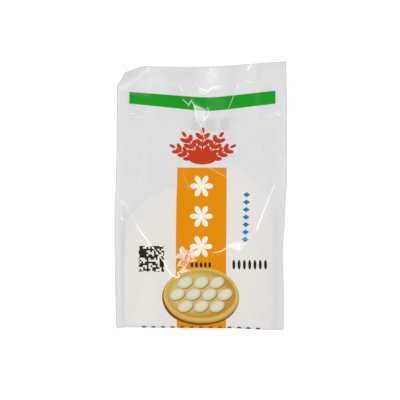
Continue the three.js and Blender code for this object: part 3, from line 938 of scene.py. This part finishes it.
uv_place = add(tree, "UVMap", uv_map="flat_film")
place = vector(tree, "MULTIPLY_ADD", uv_place, (UV_SIDE, UV_SIDE, 0), (-UV_ACROSS, -UV_UP, 0))
read = {name: add(tree, "Attribute", attribute_name=name).node.outputs["Fac"]
        for name in ("touch", "fold_side", "fold_white_and_glint", "facet_white_and_highlight", "painted_shade")}
fold_off = maths(tree, "ABSOLUTE", read["fold_side"])
fold_line = maths(tree, "MULTIPLY_ADD", fold_off, -1 / LINE_BLUR, 1 + LINE_HALF / LINE_BLUR, use_clamp=True)
# Whitening: real whitening of creases and crushed film, and painted highlights and sheens.
creased_and_highlit = join(tree, both(tree, fold_line, read["fold_white_and_glint"]), read["facet_white_and_highlight"])

# The film was stretched at the weld, so the band droops at both ends, and a little more on the right.
BAND_TILT, BAND_BOW = 0.003, 0.00024
on_film = split(tree, place)
drop = maths(tree, "MULTIPLY_ADD", on_film[0], BAND_BOW, BAND_TILT)
drop = maths(tree, "MULTIPLY", drop, on_film[0])
band_place = vector(tree, "ADD", place, add(tree, "CombineXYZ", 0.0, drop))

# The inside of the dish is a frame of radius 1. The grains' shade is lower in it, their light higher.
in_dish = add(tree, "Mapping", place, (*INSIDE, 0), (0, 0, 0), (*INSIDE_HALF, 1), vector_type="TEXTURE")
lowered = vector(tree, "ADD", in_dish, (-0.02, 0.04, 0))
raised = vector(tree, "ADD", in_dish, (0.01, -0.02, 0))

# The orange panel is widest at the belly, and bows in above and below it.
PANEL_TOP, PANEL_LOW, PANEL_MIDDLE, PANEL_HALF = 172.3, -26, 1.5, 27.2
PANEL_BELLY, PANEL_BOW = 72, 4.1e-6
from_belly = maths(tree, "SUBTRACT", on_film[1], PANEL_BELLY)
narrowing = maths(tree, "MULTIPLY", from_belly, from_belly)
narrowing = maths(tree, "MULTIPLY_ADD", narrowing, PANEL_BOW, 1)
narrowed = maths(tree, "MULTIPLY", on_film[0], narrowing)
panel_place = add(tree, "CombineXYZ", narrowed, on_film[1])
orange_panel = shape(tree, panel_place, (PANEL_MIDDLE, (PANEL_TOP + PANEL_LOW) / 2),
                     (PANEL_HALF, (PANEL_TOP - PANEL_LOW) / 2), "field")
in_rosette, rosette_field = cells(tree, place, centre=(1.2, 121), field=(20, 47.6), cell=(60, 15.9))

# A bunch of five ears: one upright, and two turned pairs, each made by folding the place.
ear_place = vector(tree, "SUBTRACT", place, (2, 177, 0))
ears = [wheat_ear(tree, ear_place, 43.5)]
for start, turn, length in ((2, 0.5, 40.5), (4, 1.02, 36)):
    turned = add(tree, "Mapping", folded(tree, ear_place), (start, 1, 0), (0, 0, -turn), (1, 1, 1),
                 vector_type="TEXTURE")
    ears.append(wheat_ear(tree, turned, length))
wheat_bunch = join(tree, *ears, shape(tree, ear_place, (0, 5.7), (15.5, 7.2)))

# A square block of small squares, each tossed to be dark or bare.
BLOCK, BLOCK_HALF, BLOCK_CELL, BLOCK_BARE = (-51.8, 76.1, 0), 13.65, 1.95, 0.35
block = vector(tree, "SUBTRACT", place, BLOCK)
block_cells = vector(tree, "MULTIPLY_ADD", block, (1 / BLOCK_CELL, 1 / BLOCK_CELL, 0), (0.5, 0.5, 0))
toss = add(tree, "TexWhiteNoise", vector(tree, "FLOOR", block_cells))
tossed_block = both(tree, shape(tree, block, (0, 0), (BLOCK_HALF, BLOCK_HALF), "field"),
                    maths(tree, "GREATER_THAN", toss, BLOCK_BARE))

# Places on the back are told from the middle of the back panel.
back = vector(tree, "SUBTRACT", place, (PANEL_FLAT + PLEAT, 0, 0))

LAYERS = [
    ("green", shape(tree, band_place, (0.55, 250.9), (79, 6.95), "field")),
    ("red", wheat_bunch),
    ("orange", orange_panel),
    ("white", both(tree, petals(tree, in_rosette, 12.2), rosette_field)),
    ("dark", row_of(tree, place, centre=(1, 69.8), field=(12, 5), cell=(2.4, 20), mark=(1.5, 2.9))),
    ("dish side", dish_oval(tree, place, 0, -1.2, 0, 0)),
    ("dish front", dish_oval(tree, place, 1.1, -0.2, 1, 1.7)),
    ("dish rim", dish_oval(tree, place, 0.5, 1.4, 0.9, 2.2)),
    ("dish right", shape(tree, in_dish, (0, 0), (1, 1), blur=0.02)),
    ("dish inside", shape(tree, in_dish, (-0.12, 0.06), (0.82, 0.86), blur=0.25)),
    ("grain shade", grain_rows(tree, lowered, (0.185, 0.267), 0.06)),
    ("grain", grain_rows(tree, in_dish, (0.185, 0.262), 0.02)),
    ("grain light", grain_rows(tree, raised, (0.125, 0.19), 0.08)),
    ("blue", row_of(tree, place, centre=(49.3, 120.3), field=(6, 27.4), cell=(20, 3.92), mark=(3.8, 2.8),
                    form="diamond")),
    ("dark", row_of(tree, place, centre=(54.5, 70.2), field=(20.3, 8), cell=(2.9, 20), mark=(1.65, 5.1))),
    ("dark", tossed_block),
    ("brown", row_of(tree, place, centre=(1, 0.9), field=(67, 6), cell=(5.2, 20), mark=(2.4, 1.8))),
    ("green", shape(tree, back, (0.8, 250.6), (78.6, 6.6), "field")),
    ("red", row_of(tree, back, centre=(-9, 226), field=(23, 9), cell=(7.8, 20), mark=(5, 8), form="field")),
    ("brown", row_of(tree, back, centre=(0, 90), field=(52, 56), cell=(80, 3.5), mark=(70, 0.7),
                     form="field")),
]

mottle = maths(tree, "MULTIPLY_ADD", noise(tree, 55, 3), MOTTLE, 1 - MOTTLE / 2)
colour = add(tree, "Mix", read["touch"], linear(FILM_WHITE), linear(FILM_ON_FLOUR), data_type="RGBA")
for ink, mask in LAYERS:
    colour = add(tree, "Mix", mask, colour, linear(INKS[ink]), data_type="RGBA")
cover = join(tree, *(mask for _, mask in LAYERS))
colour = add(tree, "Mix", creased_and_highlit, colour, linear(CREASE_WHITE_AND_HIGHLIGHT), data_type="RGBA")
# Painted shade: the grey fields darken the colour, along with the random mottle.
mottled_with_painted_shade = maths(tree, "SUBTRACT", mottle, read["painted_shade"])
colour = vector(tree, "MULTIPLY", colour, mottled_with_painted_shade)
alpha = maths(tree, "MULTIPLY_ADD", read["touch"], 1 - EMPTY_ALPHA, EMPTY_ALPHA)
alpha = join(tree, alpha, cover, creased_and_highlit)
bump = add(tree, "Bump", named={"Strength": 0.25, "Distance": 0.0004, "Height": noise(tree, 210, 4)})
gloss = maths(tree, "MULTIPLY_ADD", cover, INK_GLOSS - FILM_GLOSS, FILM_GLOSS)
surface(film, film_material, Base_Color=colour, Alpha=alpha, Normal=bump, Specular_IOR_Level=gloss,
        Roughness=FILM_ROUGHNESS, IOR=POLYETHYLENE_IOR)
print("print layers:", len(LAYERS), "nodes:", len(tree.nodes))

# %% [markdown]
# Wheat flour is a matt powder, off-white from the grain. It has next to no gloss, and its surface is
# finely clumped.

# %% Flour material
flour_material = bpy.data.materials.new("wheat_flour_sifted")
tree = new_tree(flour_material)
clumps = noise(tree, 300, 6)
tone = add(tree, "Mix", clumps, linear("#e9e5d8"), linear("#f7f4ea"), data_type="RGBA")
grain = add(tree, "Bump", named={"Strength": 0.5, "Distance": 0.0008, "Height": clumps})
surface(flour, flour_material, Base_Color=tone, Normal=grain, Roughness=1.0, Specular_IOR_Level=0.1)

# %% [markdown]
# The studio: a pale floor, a white surround and two soft boxes. The surround looks whiter to the
# camera than the light that it gives, so that the background is clean and the film keeps its tone.

# %% Floor, surround and lights
FLOOR_GLOW = 0.82                # the paper is lit from below, so it is pure white with faint shadows
FLOOR_REACH = 6000               # mm each way
LIGHTS_AIM = (0, 0, 0.14)        # metres
SURROUND, SEEN_MORE, MIRRORED_LESS = 1.05, 0.05, 0.45


def paper_floor():
    """A wide sheet of pale paper on a light table."""
    corners = [(x * FLOOR_REACH, y * FLOOR_REACH, 0) for x, y in ((-1, -1), (1, -1), (1, 1), (-1, 1))]
    floor = mesh_object("floor", corners, [[0, 1, 2, 3]], smooth_shading=False)
    material = bpy.data.materials.new("paper_white_matt")
    tree = new_tree(material)
    tone = add(tree, "Mix", noise(tree, 90, 2), linear("#8c8c8c"), linear("#909090"), data_type="RGBA")
    surface(floor, material, Base_Color=tone, Roughness=0.9, Emission_Color=(1, 1, 1, 1),
            Emission_Strength=FLOOR_GLOW)
    floor.visible_glossy = False
    return floor


def soft_box(name, place, size, power):
    """A square area light, turned to the middle of the bag."""
    light = bpy.data.lights.new(name, "AREA")
    light.shape = "SQUARE"
    light.size = size
    light.energy = power
    lamp = bpy.data.objects.new(name, light)
    bpy.context.scene.collection.objects.link(lamp)
    lamp.location = place
    towards = np.subtract(LIGHTS_AIM, place)
    flat_distance = math.hypot(towards[0], towards[1])
    lamp.rotation_euler = (math.pi / 2 + math.atan2(towards[2], flat_distance), 0,
                           math.atan2(towards[1], towards[0]) - math.pi / 2)


floor = paper_floor()
soft_box("key_box", (0.9, -1.4, 1.2), 0.4, 5)
soft_box("fill_box", (-1.3, -1.1, 0.8), 0.4, 3)
world = bpy.data.worlds.new("white_surround")
bpy.context.scene.world = world
tree = new_tree(world)
rays = add(tree, "LightPath").node.outputs
strength = maths(tree, "MULTIPLY_ADD", rays["Is Camera Ray"], SEEN_MORE, SURROUND)
strength = maths(tree, "MULTIPLY_ADD", rays["Is Glossy Ray"], -MIRRORED_LESS, strength)
add(tree, "OutputWorld", add(tree, "Background", (1, 1, 1, 1), strength))
bpy.context.scene.view_settings.view_transform = "Standard"

# %% Tie the pieces to the frame, and hide the imported solid
for piece in (film, flour):
    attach(piece, "root")
    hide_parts("flour_bag")
